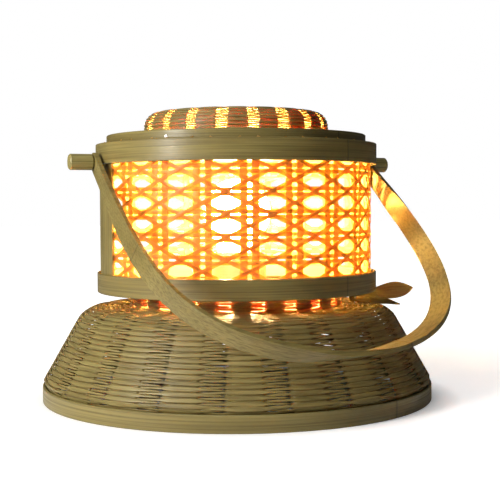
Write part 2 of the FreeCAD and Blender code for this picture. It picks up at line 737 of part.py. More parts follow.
def leaf_blade(length, half_widths):
    """A leaf lying along +X from the origin, with a blunt inner end and a pointed tip."""
    side = [vector(length * share, half, 0) for share, half in half_widths] + [vector(length, 0, 0)]
    upper = Part.BSplineCurve()
    upper.interpolate(side)
    lower = Part.BSplineCurve()
    lower.interpolate([vector(point.x, -point.y, 0) for point in side[::-1]])
    back = Part.makeLine(vector(0, -side[0].y, 0), side[0])
    face = Part.Face(Part.Wire([upper.toShape(), lower.toShape(), back]))
    return face.extrude(vector(0, 0, LEAF_THICKNESS))


def place_leaf(leaf, radius, height, roll, rise):
    leaf.rotate(CENTRE, vector(1, 0, 0), roll)
    leaf.rotate(CENTRE, vector(0, 1, 0), -rise)
    leaf.rotate(CENTRE, UP, LEAF_AZIMUTH - 90.0)
    leaf.translate(direction(LEAF_AZIMUTH) * radius + UP * height)
    return leaf


lower_leaf = leaf_blade(LOWER_LEAF_LENGTH, LOWER_LEAF_HALF_WIDTHS)
lower_height = BASE_TOP + LOWER_LEAF_LIFT
lower_leaf = place_leaf(lower_leaf, LOWER_LEAF_START, lower_height, LOWER_LEAF_ROLL, LOWER_LEAF_RISE)
upper_leaf = leaf_blade(UPPER_LEAF_LENGTH, UPPER_LEAF_HALF_WIDTHS)
upper_height = BASE_TOP + UPPER_LEAF_LIFT
upper_leaf = place_leaf(upper_leaf, UPPER_LEAF_START, upper_height, UPPER_LEAF_ROLL, UPPER_LEAF_RISE)
pin_shank = rod(pin_foot, UP, LEAF_PIN_RADIUS, LEAF_PIN_TOP - LEAF_PIN_BOTTOM)
pin_head_foot = pin_foot + UP * (LEAF_PIN_TOP - LEAF_PIN_BOTTOM)
pin_head = rod(pin_head_foot, UP, LEAF_PIN_HEAD_RADIUS, NAIL_HEAD)
save(lower_leaf.cut(leaf_pin_hole), "leaf_lower")
save(upper_leaf.cut(leaf_pin_hole), "leaf_upper")
save(pin_shank.fuse(pin_head), "leaf_pin")
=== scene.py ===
import math
import random

import bpy
import numpy as np
from mathutils import Matrix, Vector

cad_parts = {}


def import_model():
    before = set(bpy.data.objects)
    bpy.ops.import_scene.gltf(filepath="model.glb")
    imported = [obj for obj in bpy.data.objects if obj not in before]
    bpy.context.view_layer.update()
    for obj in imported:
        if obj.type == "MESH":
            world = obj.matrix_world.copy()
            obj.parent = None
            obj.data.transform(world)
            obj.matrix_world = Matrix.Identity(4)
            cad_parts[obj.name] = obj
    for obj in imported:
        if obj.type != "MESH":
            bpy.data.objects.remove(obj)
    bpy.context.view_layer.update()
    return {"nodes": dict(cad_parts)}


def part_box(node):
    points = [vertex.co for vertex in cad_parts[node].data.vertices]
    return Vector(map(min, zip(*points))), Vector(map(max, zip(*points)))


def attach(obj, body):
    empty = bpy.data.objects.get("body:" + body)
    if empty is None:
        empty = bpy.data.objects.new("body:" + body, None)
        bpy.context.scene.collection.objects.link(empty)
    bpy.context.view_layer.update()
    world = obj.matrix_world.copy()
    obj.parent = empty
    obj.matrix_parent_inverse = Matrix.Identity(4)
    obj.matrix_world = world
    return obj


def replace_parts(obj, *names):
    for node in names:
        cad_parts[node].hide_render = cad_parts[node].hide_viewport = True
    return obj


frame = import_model()
nodes_by_name = frame["nodes"]
# Outlines and sizes are in millimetres unless a name ends in _M, and to_world() turns them into metres.
MM = 0.001
TURN = 2 * math.pi
SEED = 7
SEARCH_POINTS = 2000
AXIS_GAP = 0.1
rng = random.Random(SEED)


def mm(node):
    """A CAD node's lowest and highest corner in millimetres."""
    low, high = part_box(node)
    return low / MM, high / MM


# ---------------------------------------------------------------- outlines


def rounded_path(corners, steps=8):
    """Fine (radius, height) points through corners given as (radius, height, rounding)."""
    points = [np.array(corners[0][:2], float)]
    for before, here, after in zip(corners, corners[1:], corners[2:]):
        corner = np.array(here[:2], float)
        arriving = corner - np.array(before[:2])
        leaving = np.array(after[:2]) - corner
        arriving /= np.linalg.norm(arriving)
        leaving /= np.linalg.norm(leaving)
        turn = math.acos(float(np.clip(arriving @ leaving, -1, 1)))
        start = corner - arriving * here[2] * math.tan(turn / 2)
        side = leaving - arriving * (arriving @ leaving)
        side /= np.linalg.norm(side)
        centre = start + side * here[2]
        for step in range(steps + 1):
            a = turn * step / steps
            points.append(centre - side * here[2] * math.cos(a) + arriving * here[2] * math.sin(a))
    points.append(np.array(corners[-1][:2], float))
    return np.array(points)


class Outline:
    """A (radius, height) path that gives points and outward normals by distance along it."""

    def __init__(self, corners):
        raw = rounded_path(corners)
        steps = np.linalg.norm(np.diff(raw, axis=0), axis=1)
        raw = raw[np.concatenate([[True], steps > 1e-6])]
        steps = np.linalg.norm(np.diff(raw, axis=0), axis=1)
        self.at = np.concatenate([[0], np.cumsum(steps)])
        self.length = self.at[-1]
        self.raw = raw

    def point(self, s):
        return np.stack([np.interp(s, self.at, self.raw[:, i]) for i in (0, 1)], -1)

    def nearest(self, radius, height):
        """Distance along the path of its point closest to a radius and height."""
        fine = np.linspace(0, self.length, SEARCH_POINTS)
        return float(fine[np.argmin(np.hypot(*(self.point(fine) - (radius, height)).T))])

    def frame(self, s, reach=0.6):
        ahead = self.point(np.minimum(s + reach, self.length))
        behind = self.point(np.maximum(s - reach, 0))
        along = ahead - behind
        along /= np.maximum(np.linalg.norm(along, axis=-1, keepdims=True), 1e-9)
        out = np.stack([along[..., 1], -along[..., 0]], -1)
        return self.point(s), along, out


def to_world(radius, height, azimuth):
    """Millimetres and an azimuth in radians from the front (-Y) towards +X, as metres."""
    return np.stack([radius * np.sin(azimuth), -radius * np.cos(azimuth), height], -1) * MM


# ---------------------------------------------------------------- meshes


def make_object(name, verts, faces, uvs=None, smooth=True):
    mesh = bpy.data.meshes.new(name)
    mesh.from_pydata([tuple(v) for v in verts], [], [tuple(f) for f in faces])
    if uvs is not None:
        layer = mesh.uv_layers.new(name="strand")
        index = np.zeros(len(mesh.loops), np.int32)
        mesh.loops.foreach_get("vertex_index", index)
        layer.data.foreach_set("uv", np.asarray(uvs, np.float32)[index].ravel())
    if smooth:
        mesh.polygons.foreach_set("use_smooth", [True] * len(mesh.polygons))
    mesh.validate()
    mesh.update()
    obj = bpy.data.objects.new(name, mesh)
    bpy.context.scene.collection.objects.link(obj)
    return obj


LANE_SPREAD = 0.3


def loft(rings, uv_along, uv_lane):
    """Verts, faces and UVs of a tube through rings of shape (count, corners, 3), capped at both ends."""
    count, corners = rings.shape[:2]
    verts = rings.reshape(-1, 3)
    row = np.arange(count - 1)[:, None] * corners
    col = np.arange(corners)[None, :]
    nxt = (col + 1) % corners
    quads = np.stack([row + col, row + nxt, row + corners + nxt, row + corners + col], -1).reshape(-1, 4)
    faces = [list(q) for q in quads]
    faces.append(list(range(corners))[::-1])
    faces.append(list(range((count - 1) * corners, count * corners)))
    across = np.linspace(0, 1, corners, endpoint=False)
    lanes = np.repeat(uv_lane, corners) + np.tile(across, count) * LANE_SPREAD
    uvs = np.stack([np.repeat(uv_along, corners), lanes], -1)
    return verts, faces, uvs


def join_lofts(parts):
    verts, faces, uvs, base = [], [], [], 0
    for v, f, uv in parts:
        verts.append(v)
        uvs.append(uv)
        faces.extend([[i + base for i in face] for face in f])
        base += len(v)
    return np.concatenate(verts), faces, np.concatenate(uvs)


# Half-round section of a split strand: (across, outward) as shares of half its width and thickness.
SPLIT_SECTION = np.array([
    (-1, -0.2), (-0.6, 0.75), (0, 1.0), (0.6, 0.75), (1, -0.2), (0.55, -0.9), (-0.55, -0.9)])
# The corner of that section that sinks into a groove, where the strand is split along its middle.
SPLIT_LINE = np.array([0, 0, 1, 0, 0, 0, 0])
# Section of a flat strip with eased edges.
FLAT_SECTION = np.array([
    (-1, -0.6), (-1, 0.6), (-0.85, 1), (0, 1), (0.85, 1),
    (1, 0.6), (1, -0.6), (0.85, -1), (0, -1), (-0.85, -1)])

# Slits between neighbouring strands: (place, reach), as shares of the way from one slat to the next.
POINTS_PER_SLAT = 16
STEP_SHARPNESS = 2.0
MAIN_SLIT = (0.66, 0.05)
FAINT_SLIT = (0.33, 0.045)
FAINT_SLIT_SHARE = 0.5
SLIT_DEPTH = 0.62
SLIT_DEPTH_CHANGE = 0.42
THINNEST_SHARE = 0.08
WIDTH_WOBBLE = 0.05
PLACE_WOBBLE = 0.1
SLAT_REACH = 1.6


def bell(value, place, reach):
    """A smooth bump of height one around a place."""
    return np.exp(-((value - place) / reach) ** 2)


def strand_width(pitch, wave, phase, wobble, widen, gap_width, slits):
    """Width along a strand: widest on the slats, and pinched where a slit opens beside one."""
    width = pitch * (gap_width + widen * wave ** 4) * (1 + WIDTH_WOBBLE * wobble)
    share = np.mod(phase / math.pi, 1.0)
    opening = slits * (bell(share, *MAIN_SLIT) + FAINT_SLIT_SHARE * bell(share, *FAINT_SLIT))
    return width * np.clip(1 - opening * (SLIT_DEPTH - SLIT_DEPTH_CHANGE * wave), THINNEST_SHARE, 1.0)


def woven_skin(name, seed, outline, start, end, pitch, slats, first_slat, depth, lift, thickness, widen,
               gap_width, slits=0.0, groove=0.0, closed_at=()):
    """One continuous strand that spirals along an outline and passes over one slat and under the next."""
    turns = (end - start) / pitch
    count = int(turns * slats * POINTS_PER_SLAT)
    azimuth = np.linspace(0, turns * TURN, count)
    phase = slats / 2 * (azimuth - math.radians(first_slat))
    wave = np.tanh(STEP_SHARPNESS * np.cos(phase)) / math.tanh(STEP_SHARPNESS)
    knots = np.random.default_rng(seed).normal(0, 1, count // POINTS_PER_SLAT + 2)
    wobble = np.interp(np.arange(count) / POINTS_PER_SLAT, np.arange(len(knots)), knots)
    s = start + pitch * azimuth / TURN + wobble * PLACE_WOBBLE * pitch
    s = np.clip(s, 0, outline.length)
    point, along, out = outline.frame(s)
    width = strand_width(pitch, wave, phase, wobble, widen, gap_width, slits)
    between = 1 - np.clip(np.abs(np.cos(phase)) * SLAT_REACH, 0, 1)
    for place, reach, share in closed_at:
        width = width * (1 + share * bell(s, place, reach) * between)
    shift = -depth + lift * wave
    half_w = width[:, None] / 2 * SPLIT_SECTION[None, :, 0]
    sunk = groove * (wave * wave)[:, None] * SPLIT_LINE[None, :]
    half_t = thickness / 2 * (SPLIT_SECTION[None, :, 1] - sunk)
    section = point[:, None] + along[:, None] * half_w[..., None]
    section = section + out[:, None] * (shift[:, None] + half_t)[..., None]
    azimuths = np.repeat(azimuth[:, None], len(SPLIT_SECTION), 1)
    rings = to_world(np.maximum(section[..., 0], AXIS_GAP), section[..., 1], azimuths)
    distance = np.concatenate([[0], np.cumsum(np.linalg.norm(np.diff(rings[:, 0], axis=0), axis=1))])
    return make_object(name, *loft(rings, distance, azimuth / TURN))


SLAT_POINT_GAP = 1.6
SLAT_WANDER_ANGLE = 0.4
SLAT_SWELL = 0.04
SLAT_SWELL_LENGTH = 9.0
SLAT_LANE = 1.7


def slat_strips(name, outline, start, end, slats, first_slat, width_angle, depth, thickness):
    """Flat slats that follow an outline from foot to tip."""
    parts = []
    count = int((end - start) / SLAT_POINT_GAP) + 2
    s = np.linspace(start, end, count)
    point, _, out = outline.frame(s)
    section = point[:, None] + out[:, None] * (-depth + thickness / 2 * FLAT_SECTION[None, :, 1])[..., None]
    for index in range(slats):
        middle = math.radians(first_slat + 360.0 * index / slats)
        middle += math.radians(rng.uniform(-SLAT_WANDER_ANGLE, SLAT_WANDER_ANGLE))
        half = math.radians(width_angle) / 2 * (1 + SLAT_SWELL * np.sin(s / SLAT_SWELL_LENGTH + index))
        azimuth = middle + half[:, None] * FLAT_SECTION[None, :, 0]
        rings = to_world(np.maximum(section[..., 0], AXIS_GAP), section[..., 1], azimuth)
        parts.append(loft(rings, s * MM, np.full(count, index * SLAT_LANE)))
    return make_object(name, *join_lofts(parts))


def strip_along(points, outward, width, thickness, lane):
    """A thin flat strip through points, lying square to the outward directions."""
    points, outward = np.asarray(points, float), np.asarray(outward, float)
    tangent = np.gradient(points, axis=0)
    tangent /= np.linalg.norm(tangent, axis=1, keepdims=True)
    across = np.cross(outward, tangent)
    across /= np.linalg.norm(across, axis=1, keepdims=True)
    rings = (points[:, None] + across[:, None] * (width / 2 * FLAT_SECTION[None, :, 0])[..., None] * MM
             + outward[:, None] * (thickness / 2 * FLAT_SECTION[None, :, 1])[..., None] * MM)
    distance = np.concatenate([[0], np.cumsum(np.linalg.norm(np.diff(points, axis=0), axis=1))])
    return loft(rings, distance, np.full(len(points), lane))


# ---------------------------------------------------------------- materials


class Tree:
    """A short way to add and link shader nodes."""

    def __init__(self, name):
        self.material = bpy.data.materials.new(name)
        self.material.use_nodes = True
        self.tree = self.material.node_tree
        self.tree.nodes.clear()

    def add(self, kind, inputs=None, **settings):
        node = self.tree.nodes.new(kind)
        for key, value in settings.items():
            setattr(node, key, value)
        for key, value in (inputs or {}).items():
            if isinstance(value, bpy.types.NodeSocket):
                self.tree.links.new(value, node.inputs[key])
            else:
                node.inputs[key].default_value = value
        return node

    def math(self, operation, a, b=0.0):
        node = self.add("ShaderNodeMath", {0: a, 1: b}, operation=operation)
        return node.outputs[0]

    def mix(self, share, a, b, blend="MIX"):
        node = self.add("ShaderNodeMix", {0: share, 6: a, 7: b}, data_type="RGBA", blend_type=blend)
        return node.outputs[2]

    def span(self, value, low, high, to_low, to_high):
        node = self.add("ShaderNodeMapRange", {0: value, 1: low, 2: high, 3: to_low, 4: to_high})
        return node.outputs[0]

    def noise(self, vector, scale, detail=3.0, rough=0.55):
        inputs = {"Vector": vector, "Scale": scale, "Detail": detail, "Roughness": rough}
        return self.add("ShaderNodeTexNoise", inputs).outputs[0]

    def stretch(self, vector, scale):
        node = self.add("ShaderNodeVectorMath", {0: vector, 1: scale}, operation="MULTIPLY")
        return node.outputs[0]

    def combine(self, x, y, z):
        return self.add("ShaderNodeCombineXYZ", {0: x, 1: y, 2: z}).outputs[0]

    def finish(self, shader):
        self.add("ShaderNodeOutputMaterial", {"Surface": shader})
        return self.material


HOOP_GRAIN_RADIUS_M = 0.09
BAIL_LEAN = math.radians(33.7)
BAIL_MIDDLE_M = 0.08
BAIL_GRAIN_RADIUS_M = 0.1
BAIL_REACH_SHARE = 0.3


def axis_distance(t, x, y):
    return t.math("SQRT", t.math("ADD", t.math("MULTIPLY", x, x), t.math("MULTIPLY", y, y)))


def hoop_grain(t, x, y, z):
    """Grain that runs round the upright axis."""
    angle = t.math("ARCTAN2", x, t.math("MULTIPLY", y, -1.0))
    return t.combine(t.math("MULTIPLY", angle, HOOP_GRAIN_RADIUS_M), z, axis_distance(t, x, y))


def bail_grain(t, x, y, z):
    """Grain that runs along the bail, which leans forward and down from its pegs."""
    peg_low, peg_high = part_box("peg_left")
    rise = t.math("SUBTRACT", z, (peg_low.z + peg_high.z) / 2)
    cos, sin = math.cos(BAIL_LEAN), math.sin(BAIL_LEAN)
    reach = t.math("ADD", t.math("MULTIPLY", y, -cos), t.math("MULTIPLY", rise, -sin))
    across = t.math("ADD", t.math("MULTIPLY", y, -sin), t.math("MULTIPLY", rise, cos))
    angle = t.math("ARCTAN2", x, t.math("SUBTRACT", reach, BAIL_MIDDLE_M))
    along = t.math("MULTIPLY", angle, BAIL_GRAIN_RADIUS_M)
    return t.combine(along, across, t.math("MULTIPLY", reach, BAIL_REACH_SHARE))


def grain_space(t, space):
    """A vector whose X runs along the grain and Y across it, in metres."""
    if space == "strand":
        return t.add("ShaderNodeUVMap", uv_map="strand").outputs[0]
    coords = t.add("ShaderNodeTexCoord").outputs["Object"]
    part = t.add("ShaderNodeSeparateXYZ", {0: coords})
    x, y, z = part.outputs[0], part.outputs[1], part.outputs[2]
    if space == "hoop":
        return hoop_grain(t, x, y, z)
    if space == "bail":
        return bail_grain(t, x, y, z)
    if space == "upright":
        return t.combine(z, x, y)
    return coords


# How far each noise shows: the value where it starts and the value where it is full.
PATCH_SPAN = (0.35, 0.68)
STREAK_SPAN = (0.5, 0.75)
STREAK_SHARE = (0.3, 0.25)
GLOSS_SPAN = (0.3, 0.7)
FIBRE_SPAN = (0.42, 0.68)
FIBRE_SHARE = 0.75
GREEN_TINT = (0.80, 0.98, 0.72)
BAMBOO_BUMP_M = 0.0004
BAMBOO_IOR = 1.45
COAT_ROUGHNESS = 0.25

# The rings at the nodes of a cane of bamboo.
NODE_OFFSET = 0.31
NODE_HALF_WIDTH_M = 0.0011
NODE_SHARE = 0.55
NODE_SHADE = 0.45
NODE_RISE = 1.5

# Light that comes through a thin strand.
GLOW_SPAN = (0.35, 0.65)
GLOW_FIBRE_SPAN = (0.4, 0.7)
GLOW_FIBRE_SHARE = 0.5
GLOW_FIBRE_SHADE = 0.45


def shaded(colour, share):
    return (*[part * share for part in colour], 1)


def node_rings(t, v, spacing, colour, dark, height):
    """Colour and height with a dark, raised ring at each node along the grain."""
    along = t.add("ShaderNodeSeparateXYZ", {0: v}).outputs[0]
    wrapped = t.math("FRACT", t.math("ADD", t.math("MULTIPLY", along, 1.0 / spacing), NODE_OFFSET))
    line = t.math("ABSOLUTE", t.math("SUBTRACT", wrapped, 0.5))
    ridge = t.span(line, 0.0, NODE_HALF_WIDTH_M / spacing, 1.0, 0.0)
    colour = t.mix(t.math("MULTIPLY", ridge, NODE_SHARE), colour, shaded(dark, NODE_SHADE))
    return colour, t.math("ADD", height, t.math("MULTIPLY", ridge, NODE_RISE))


def light_through(t, v, glow, diagonals_from, broad, fine, normal):
    """A translucent shader, with its own colour on the cane's diagonals."""
    lit = t.mix(t.span(broad, *GLOW_SPAN, 0.0, 1.0), (*glow[0], 1), (*glow[1], 1))
    if diagonals_from:
        lane = t.add("ShaderNodeSeparateXYZ", {0: v}).outputs[1]
        lit = t.mix(t.math("GREATER_THAN", lane, diagonals_from), lit, (*DIAGONAL_GLOW, 1))
    fibre = t.span(fine, *GLOW_FIBRE_SPAN, 0.0, GLOW_FIBRE_SHARE)
    lit = t.mix(fibre, lit, shaded(glow[0], GLOW_FIBRE_SHADE))
    return t.add("ShaderNodeBsdfTranslucent", {"Color": lit, "Normal": normal}).outputs[0]


def bamboo(name, space, light, mid, dark, fibre=(18.0, 900.0), patch=(9.0, 60.0), rough=(0.32, 0.5),
           bump=0.35, glow=None, glow_share=0.0, diagonals_from=0.0, rings=0.0, green=0.25, coat=0.0):
    """Split bamboo or cane. Fibre and patch are noise scales along and across the grain."""
    t = Tree(name)
    v = grain_space(t, space)
    along, across = fibre
    fine = t.noise(t.stretch(v, (along, across, across)), 1.0, 4.0, 0.6)
    broad = t.noise(t.stretch(v, (patch[0], patch[1], patch[1])), 1.0, 3.0, 0.5)
    streak_along, streak_across = along * STREAK_SHARE[0], across * STREAK_SHARE[1]
    streak = t.noise(t.stretch(v, (streak_along, streak_across, streak_across)), 1.0, 2.0, 0.5)
    colour = t.mix(t.span(broad, *PATCH_SPAN, 0.0, 1.0), (*mid, 1), (*light, 1))
    greenish = (*[part * tint for part, tint in zip(mid, GREEN_TINT)], 1)
    colour = t.mix(t.span(streak, *STREAK_SPAN, 0.0, green), colour, greenish)
    colour = t.mix(t.span(fine, *FIBRE_SPAN, 0.0, FIBRE_SHARE), colour, (*dark, 1))
    height = fine
    if rings:
        colour, height = node_rings(t, v, rings, colour, dark, height)
    bump_inputs = {"Strength": bump, "Distance": BAMBOO_BUMP_M, "Height": height}
    bumped = t.add("ShaderNodeBump", bump_inputs).outputs[0]
    shader = t.add("ShaderNodeBsdfPrincipled", {
        "Base Color": colour, "Roughness": t.span(fine, *GLOSS_SPAN, *rough), "Normal": bumped,
        "IOR": BAMBOO_IOR, "Coat Weight": coat, "Coat Roughness": COAT_ROUGHNESS}).outputs[0]
    if glow:
        through = light_through(t, v, glow, diagonals_from, broad, fine, bumped)
        shader = t.add("ShaderNodeMixShader", {0: glow_share, 1: shader, 2: through}).outputs[0]
    return t.finish(shader)


MOTTLE_SCALE = 900.0
MOTTLE_PATCH_SHARE = 0.08
MOTTLE_SPAN = (0.35, 0.65)
MOTTLE_BUMP = 0.1
MOTTLE_BUMP_M = 0.0002


def simple(name, colour, rough, metallic=0.0, speckle=0.15):
    """A plain moulded or metal finish with fine mottling in colour, roughness and bump."""
    t = Tree(name)
    coords = t.add("ShaderNodeTexCoord").outputs["Object"]
    fine = t.noise(coords, MOTTLE_SCALE, 4.0, 0.6)
    broad = t.noise(coords, MOTTLE_SCALE * MOTTLE_PATCH_SHARE, 2.0, 0.5)
    tone = t.mix(t.span(broad, *MOTTLE_SPAN, 0.0, 1.0), shaded(colour, 1 - speckle), (*colour, 1))
    bump_inputs = {"Strength": MOTTLE_BUMP, "Distance": MOTTLE_BUMP_M, "Height": fine}
    return t.finish(t.add("ShaderNodeBsdfPrincipled", {
        "Base Color": tone, "Roughness": t.span(fine, *GLOSS_SPAN, rough * 0.8, min(rough * 1.25, 1.0)),
        "Normal": t.add("ShaderNodeBump", bump_inputs).outputs[0], "Metallic": metallic}).outputs[0])


def glowing(name, colour, strength):
    """A lit surface with faint clouding."""
    t = Tree(name)
    coords = t.add("ShaderNodeTexCoord").outputs["Object"]
    cloud = t.noise(coords, CLOUD_SCALE, 2.0, 0.5)
    brighter = (*[min(part * CLOUD_BRIGHTENING, 1.0) for part in colour], 1)
    tone = t.mix(t.span(cloud, *CLOUD_SPAN, 0.0, 1.0), (*colour, 1), brighter)
    return t.finish(t.add("ShaderNodeBsdfPrincipled", {
        "Base Color": tone, "Roughness": 0.25, "Emission Color": tone,
        "Emission Strength": strength}).outputs[0])


# The cane webbing: pairs of uprights and of level strands, then the diagonals, each on its own lane.
LANE_STEP = 1.37
COLUMNS = 20
ROWS = 7
FIRST_DIAGONAL = 2 * COLUMNS + 2 * ROWS + 0.5

CLOUD_SCALE = 60.0
CLOUD_SPAN = (0.3, 0.7)
CLOUD_BRIGHTENING = 1.1

# Colours of bamboo and cane as (light, middle, dark), and colours of the light that comes through them.
OLIVE = ((0.41, 0.345, 0.125), (0.30, 0.245, 0.080), (0.12, 0.090, 0.025))
TAN = ((0.30, 0.24, 0.080), (0.225, 0.172, 0.050), (0.105, 0.073, 0.021))
CANE = ((0.60, 0.40, 0.12), (0.48, 0.27, 0.06), (0.26, 0.12, 0.02))
PLYWOOD = ((0.52, 0.38, 0.22), (0.45, 0.32, 0.18), (0.28, 0.18, 0.09))
CANE_GLOW = ((1.0, 0.56, 0.10), (1.0, 0.72, 0.20))
DIAGONAL_GLOW = (1.0, 0.66, 0.15)
WARM_GLOW = ((1.0, 0.55, 0.14), (1.0, 0.74, 0.28))
DEEP_GLOW = ((1.0, 0.11, 0.014), (1.0, 0.17, 0.028))

weave_mat = bamboo("woven_bamboo", "strand", *OLIVE, fibre=(30.0, 9.0), patch=(7.0, 1.3), bump=0.4,
                   glow=DEEP_GLOW, glow_share=0.24)
lid_weave_mat = bamboo("woven_bamboo_lid", "strand", *OLIVE, fibre=(30.0, 9.0), patch=(9.0, 1.1), bump=0.4,
                       glow=WARM_GLOW, glow_share=0.15)
slat_mat = bamboo("bamboo_slats", "strand", *OLIVE, fibre=(25.0, 14.0), patch=(12.0, 1.0), bump=0.3,
                  glow=DEEP_GLOW, glow_share=0.24)
hoop_mat = bamboo("bamboo_hoops", "hoop", *TAN, fibre=(12.0, 1300.0), patch=(9.0, 90.0), rough=(0.28, 0.46),
                  bump=0.3, rings=0.21, coat=0.15)
bail_mat = bamboo("bamboo_bail", "bail", *TAN, fibre=(12.0, 1300.0), patch=(9.0, 90.0), rough=(0.30, 0.48),
                  bump=0.3, rings=0.17, coat=0.15, glow=WARM_GLOW, glow_share=0.03)
strut_mat = bamboo("bamboo_struts", "upright", *TAN, fibre=(14.0, 900.0), patch=(10.0, 60.0),
                   rough=(0.30, 0.48), bump=0.3, coat=0.1)
rod_mat = bamboo("bamboo_pegs", "sideways", *OLIVE, fibre=(30.0, 1100.0), patch=(20.0, 120.0),
                 rough=(0.34, 0.5), bump=0.4)
leaf_mat = bamboo("bamboo_leaves", "strand", *OLIVE, fibre=(50.0, 45.0), patch=(40.0, 5.0), rough=(0.4, 0.6),
                  bump=0.5, glow=DEEP_GLOW, glow_share=0.12)
cane_mat = bamboo("cane_strands", "strand", *CANE, fibre=(45.0, 9.0), patch=(14.0, 1.0), rough=(0.3, 0.45),
                  bump=0.4, glow=CANE_GLOW, glow_share=0.52, diagonals_from=LANE_STEP * FIRST_DIAGONAL,
                  green=0.1)
board_mat = bamboo("plywood", "sideways", *PLYWOOD, fibre=(10.0, 260.0), patch=(6.0, 20.0), rough=(0.5, 0.7),
                   bump=0.3, green=0.0)
steel_mat = simple("plated_steel", (0.55, 0.55, 0.55), 0.35, metallic=1.0)
brass_mat = simple("brass", (0.70, 0.50, 0.20), 0.3, metallic=1.0)
cap_mat = simple("bulb_cap_metal", (0.72, 0.72, 0.70), 0.3, metallic=1.0)
holder_mat = simple("white_ceramic", (0.80, 0.78, 0.74), 0.3, speckle=0.06)
rubber_mat = simple("black_rubber", (0.03, 0.03, 0.03), 0.65)
vitrite_mat = simple("black_vitrite", (0.02, 0.02, 0.03), 0.12)
bulb_mat = glowing("lit_globe", (1.0, 0.60, 0.24), 560.0)
filament_mat = glowing("filament", (1.0, 0.6, 0.25), 30.0)

# ---------------------------------------------------------------- woven pieces

# Corners of each skin's outer face, as (radius, height, rounding), from its foot to its tip.
BASE_CORNERS = [
    (127.6, 1.0, 0.0), (127.6, 10.4, 2.0), (129.4, 13.8, 2.0), (102.3, 61.5, 17.0),
    (71.2, 61.5, 2.0), (71.2, 71.3, 2.0), (89.8, 71.3, 0.0)]
LID_CORNERS = [
    (84.4, 163.2, 0.0), (84.4, 173.4, 2.0), (62.0, 173.4, 2.0), (62.0, 189.0, 10.0), (4.0, 193.7, 0.0)]
BASE_SLATS = 21
BASE_FIRST_SLAT = -2.4
BASE_DEPTH = 1.05
BASE_SEED = 17
LID_SLATS = 19
LID_FIRST_SLAT = -2.0
LID_DEPTH = 0.95
LID_SEED = 16
# The strands lie closer round the neck: (distance above its foot, reach, extra share of width).
NECK_FOOT = (71.2, 62.6)
NECK_CLOSING = (4.0, 7.0, 0.14)

base_outline = Outline(BASE_CORNERS)
lid_outline = Outline(LID_CORNERS)

above_foot, neck_reach, neck_share = NECK_CLOSING
neck_middle = base_outline.nearest(*NECK_FOOT) + above_foot
base_strand = woven_skin(
    "base_weave_strand", BASE_SEED, base_outline, start=1.0, end=base_outline.length - 0.5, pitch=1.72,
    slats=BASE_SLATS, first_slat=BASE_FIRST_SLAT, depth=BASE_DEPTH, lift=0.50, thickness=0.56, widen=0.96,
    gap_width=0.88, slits=1.0, groove=1.5, closed_at=[(neck_middle, neck_reach, neck_share)])
base_strand.data.materials.append(weave_mat)
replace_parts(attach(base_strand, "lantern"), "base_weave")

base_strips = slat_strips(
    "base_slat_strips", base_outline, start=0.5, end=base_outline.length - 1.0, slats=BASE_SLATS,
    first_slat=BASE_FIRST_SLAT, width_angle=8.6, depth=BASE_DEPTH, thickness=0.5)
base_strips.data.materials.append(slat_mat)
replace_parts(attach(base_strips, "lantern"), "base_slats")

lid_strand = woven_skin(
    "lid_weave_strand", LID_SEED, lid_outline, start=1.0, end=lid_outline.length - 0.5, pitch=1.28,
    slats=LID_SLATS, first_slat=LID_FIRST_SLAT, depth=LID_DEPTH, lift=0.45, thickness=0.5, widen=0.30,
    gap_width=0.74)
lid_strand.data.materials.append(lid_weave_mat)
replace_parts(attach(lid_strand, "lid"), "lid_weave")

lid_strips = slat_strips(
    "lid_slat_strips", lid_outline, start=0.5, end=lid_outline.length - 0.2, slats=LID_SLATS,
    first_slat=LID_FIRST_SLAT, width_angle=12.0, depth=LID_DEPTH, thickness=0.45)
lid_strips.data.materials.append(slat_mat)
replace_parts(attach(lid_strips, "lid"), "lid_slats")


# ---------------------------------------------------------------- cane webbing

CANE_RADIUS = 88.95
CANE_LIFT = 0.42
CANE_THICKNESS = 0.42
CANE_END_GAP = 0.3
FIRST_PAIR = math.radians(1.0)
COLUMN_STEP = TURN / COLUMNS
ROW_PITCH = 13.65
FIRST_HOLE = 88.3
PAIR_OFFSET_ANGLE = math.radians(2.28)
PAIR_OFFSET_HEIGHT = 1.72
UPRIGHT_WIDTH = 4.5
UPRIGHT_POINTS = 140
UPRIGHT_WANDER_ANGLE = 0.22
UPRIGHT_WAVE = 0.0016
UPRIGHT_WAVE_LENGTH = 17.0
LEVEL_WIDTH = 2.45
LEVEL_POINTS_PER_COLUMN = 14
LEVEL_WAVE = 0.15
LEVEL_WANDER = 0.12
LEVEL_END_GAP = 1.2
DIAGONAL_WIDTH = 2.5
DIAGONAL_THICKNESS = 0.28
DIAGONAL_POINTS = 120
DIAGONAL_OUT = 0.74
DIAGONAL_APART = 0.14
DIAGONAL_WANDER_ANGLE = 0.25
DIAGONAL_WAVE = 0.04
DIAGONAL_WAVES = 60.0


def add_cane(parts, radius, height, azimuth, width, thickness):
    """Adds one flat strand of cane, on the next free lane."""
    points = to_world(radius, height, azimuth)
    outward = to_world(np.ones(len(points)), np.zeros(len(points)), azimuth) / MM
    parts.append(strip_along(points, outward, width, thickness, LANE_STEP * (len(parts) + 1)))


